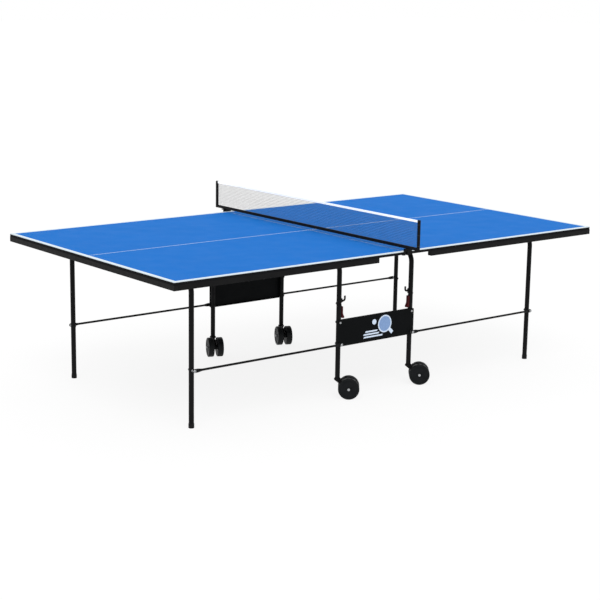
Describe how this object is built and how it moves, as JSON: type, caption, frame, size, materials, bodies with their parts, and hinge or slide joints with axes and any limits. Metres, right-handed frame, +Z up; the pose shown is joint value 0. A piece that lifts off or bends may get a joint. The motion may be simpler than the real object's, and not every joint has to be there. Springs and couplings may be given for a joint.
{
  "type": "ping pong table",
  "caption": "Folding ping pong table: blue boards on a wheeled black tube base, with bent leg frames, tie rods, fold latches, twin-wheel casters and a lift-off net.",
  "frame": {"origin": "on the floor, under the middle of the net", "axes": "+X along the table, +Y across it towards the rear, +Z up"},
  "size_m": [2.74, 1.716, 0.927],
  "materials": {
    "board": "satin blue lacquer with white lines",
    "frame_paint": "satin black powder coat",
    "panel_paint": "satin near-black powder coat",
    "black_plastic": "moulded matte",
    "wheel_plastic": "moulded matte",
    "red_plastic": "dark red moulded",
    "zinc_steel": "zinc plated",
    "net_mesh": "knotted nylon net",
    "net_tape": "woven white tape"
  },
  "bodies": {
    "base": {"wheel_frame_left": "frame_paint", "wheel_frame_right": "frame_paint", "side_panel_front": "panel_paint", "side_panel_rear": "panel_paint", "pivot_bolts": "zinc_steel", "panel_bolts": "zinc_steel", "caster_sockets": "black_plastic"},
    "half_left": {"tabletop_left": "board", "side_rails_left": "frame_paint", "end_rail_left": "frame_paint", "cross_stiffener_left": "frame_paint", "rail_caps_left": "black_plastic", "pivot_saddles_left": "black_plastic", "catch_pins_left": "frame_paint", "net_brackets_left": "frame_paint"},
    "legs_left": {"leg_frame_left": "frame_paint", "leg_feet_left": "black_plastic", "leg_bolts_left": "zinc_steel"},
    "rods_left": {"tie_rods_left": "frame_paint"},
    "half_right": {"tabletop_right": "board", "side_rails_right": "frame_paint", "end_rail_right": "frame_paint", "cross_stiffener_right": "frame_paint", "rail_caps_right": "black_plastic", "pivot_saddles_right": "black_plastic", "catch_pins_right": "frame_paint", "net_brackets_right": "frame_paint"},
    "legs_right": {"leg_frame_right": "frame_paint", "leg_feet_right": "black_plastic", "leg_bolts_right": "zinc_steel"},
    "rods_right": {"tie_rods_right": "frame_paint"},
    "latch_left_front": {"latch_hook_left_front": "frame_paint", "latch_grip_left_front": "red_plastic"},
    "caster_left_front": {"caster_fork_left_front": "black_plastic", "caster_axle_left_front": "zinc_steel"},
    "wheel_left_front_a": {"wheel_left_front_a": "wheel_plastic"},
    "wheel_left_front_b": {"wheel_left_front_b": "wheel_plastic"},
    "latch_left_rear": {"latch_hook_left_rear": "frame_paint", "latch_grip_left_rear": "red_plastic"},
    "caster_left_rear": {"caster_fork_left_rear": "black_plastic", "caster_axle_left_rear": "zinc_steel"},
    "wheel_left_rear_a": {"wheel_left_rear_a": "wheel_plastic"},
    "wheel_left_rear_b": {"wheel_left_rear_b": "wheel_plastic"},
    "latch_right_front": {"latch_hook_right_front": "frame_paint", "latch_grip_right_front": "red_plastic"},
    "caster_right_front": {"caster_fork_right_front": "black_plastic", "caster_axle_right_front": "zinc_steel"},
    "wheel_right_front_a": {"wheel_right_front_a": "wheel_plastic"},
    "wheel_right_front_b": {"wheel_right_front_b": "wheel_plastic"},
    "latch_right_rear": {"latch_hook_right_rear": "frame_paint", "latch_grip_right_rear": "red_plastic"},
    "caster_right_rear": {"caster_fork_right_rear": "black_plastic", "caster_axle_right_rear": "zinc_steel"},
    "wheel_right_rear_a": {"wheel_right_rear_a": "wheel_plastic"},
    "wheel_right_rear_b": {"wheel_right_rear_b": "wheel_plastic"},
    "net": {"net_bar": "frame_paint", "net_posts": "frame_paint", "net_feet": "frame_paint", "net_mesh": "net_mesh", "net_tape": "net_tape"}
  },
  "joints": [
    {"name": "fold_left", "type": "hinge", "parent": "base", "child": "half_left", "pos_m": [-0.242, 0, 0.7125], "axis": [0, 1, 0], "range_deg": [0, 85]},
    {"name": "leg_fold_left", "type": "hinge", "parent": "half_left", "child": "legs_left", "pos_m": [-1.131, 0, 0.7125], "axis": [0, 1, 0], "range_deg": [-85, 0]},
    {"name": "rod_swing_left", "type": "hinge", "parent": "base", "child": "rods_left", "pos_m": [-0.242, 0, 0.28], "axis": [0, 1, 0], "range_deg": [0, 85]},
    {"name": "fold_right", "type": "hinge", "parent": "base", "child": "half_right", "pos_m": [0.242, 0, 0.7125], "axis": [0, -1, 0], "range_deg": [0, 85]},
    {"name": "leg_fold_right", "type": "hinge", "parent": "half_right", "child": "legs_right", "pos_m": [1.131, 0, 0.7125], "axis": [0, -1, 0], "range_deg": [-85, 0]},
    {"name": "rod_swing_right", "type": "hinge", "parent": "base", "child": "rods_right", "pos_m": [0.242, 0, 0.28], "axis": [0, -1, 0], "range_deg": [0, 85]},
    {"name": "latch_left_front_turn", "type": "hinge", "parent": "base", "child": "latch_left_front", "pos_m": [-0.242, -0.545, 0.485], "axis": [0, -1, 0], "range_deg": [0, 16]},
    {"name": "caster_left_front_swivel", "type": "hinge", "parent": "base", "child": "caster_left_front", "pos_m": [-0.242, -0.545, 0.098], "axis": [0, 0, 1], "continuous": true},
    {"name": "wheel_left_front_a_roll", "type": "hinge", "parent": "caster_left_front", "child": "wheel_left_front_a", "pos_m": [-0.19757, -0.58228, 0.054], "axis": [0.6428, 0.766, 0], "continuous": true},
    {"name": "wheel_left_front_b_roll", "type": "hinge", "parent": "caster_left_front", "child": "wheel_left_front_b", "pos_m": [-0.19757, -0.58228, 0.054], "axis": [0.6428, 0.766, 0], "continuous": true},
    {"name": "latch_left_rear_turn", "type": "hinge", "parent": "base", "child": "latch_left_rear", "pos_m": [-0.242, 0.545, 0.485], "axis": [0, -1, 0], "range_deg": [0, 16]},
    {"name": "caster_left_rear_swivel", "type": "hinge", "parent": "base", "child": "caster_left_rear", "pos_m": [-0.242, 0.545, 0.098], "axis": [0, 0, 1], "continuous": true},
    {"name": "wheel_left_rear_a_roll", "type": "hinge", "parent": "caster_left_rear", "child": "wheel_left_rear_a", "pos_m": [-0.26559, 0.49201, 0.054], "axis": [0.9135, -0.4067, 0], "continuous": true},
    {"name": "wheel_left_rear_b_roll", "type": "hinge", "parent": "caster_left_rear", "child": "wheel_left_rear_b", "pos_m": [-0.26559, 0.49201, 0.054], "axis": [0.9135, -0.4067, 0], "continuous": true},
    {"name": "latch_right_front_turn", "type": "hinge", "parent": "base", "child": "latch_right_front", "pos_m": [0.242, -0.545, 0.485], "axis": [0, 1, 0], "range_deg": [0, 16]},
    {"name": "caster_right_front_swivel", "type": "hinge", "parent": "base", "child": "caster_right_front", "pos_m": [0.242, -0.545, 0.098], "axis": [0, 0, 1], "continuous": true},
    {"name": "wheel_right_front_a_roll", "type": "hinge", "parent": "caster_right_front", "child": "wheel_right_front_a", "pos_m": [0.28643, -0.58228, 0.054], "axis": [0.6428, 0.766, 0], "continuous": true},
    {"name": "wheel_right_front_b_roll", "type": "hinge", "parent": "caster_right_front", "child": "wheel_right_front_b", "pos_m": [0.28643, -0.58228, 0.054], "axis": [0.6428, 0.766, 0], "continuous": true},
    {"name": "latch_right_rear_turn", "type": "hinge", "parent": "base", "child": "latch_right_rear", "pos_m": [0.242, 0.545, 0.485], "axis": [0, 1, 0], "range_deg": [0, 16]},
    {"name": "caster_right_rear_swivel", "type": "hinge", "parent": "base", "child": "caster_right_rear", "pos_m": [0.242, 0.545, 0.098], "axis": [0, 0, 1], "continuous": true},
    {"name": "wheel_right_rear_a_roll", "type": "hinge", "parent": "caster_right_rear", "child": "wheel_right_rear_a", "pos_m": [0.21841, 0.49201, 0.054], "axis": [0.9135, -0.4067, 0], "continuous": true},
    {"name": "wheel_right_rear_b_roll", "type": "hinge", "parent": "caster_right_rear", "child": "wheel_right_rear_b", "pos_m": [0.21841, 0.49201, 0.054], "axis": [0.9135, -0.4067, 0], "continuous": true},
    {"name": "net_lift", "type": "slide", "parent": "base", "child": "net", "axis": [0, 0, 1], "range_m": [0, 0.15]}
  ],
  "couplings": [
    {"joint": "leg_fold_left", "follows": "fold_left", "ratio": -1},
    {"joint": "rod_swing_left", "follows": "fold_left", "ratio": 1},
    {"joint": "leg_fold_right", "follows": "fold_right", "ratio": -1},
    {"joint": "rod_swing_right", "follows": "fold_right", "ratio": 1}
  ]
}
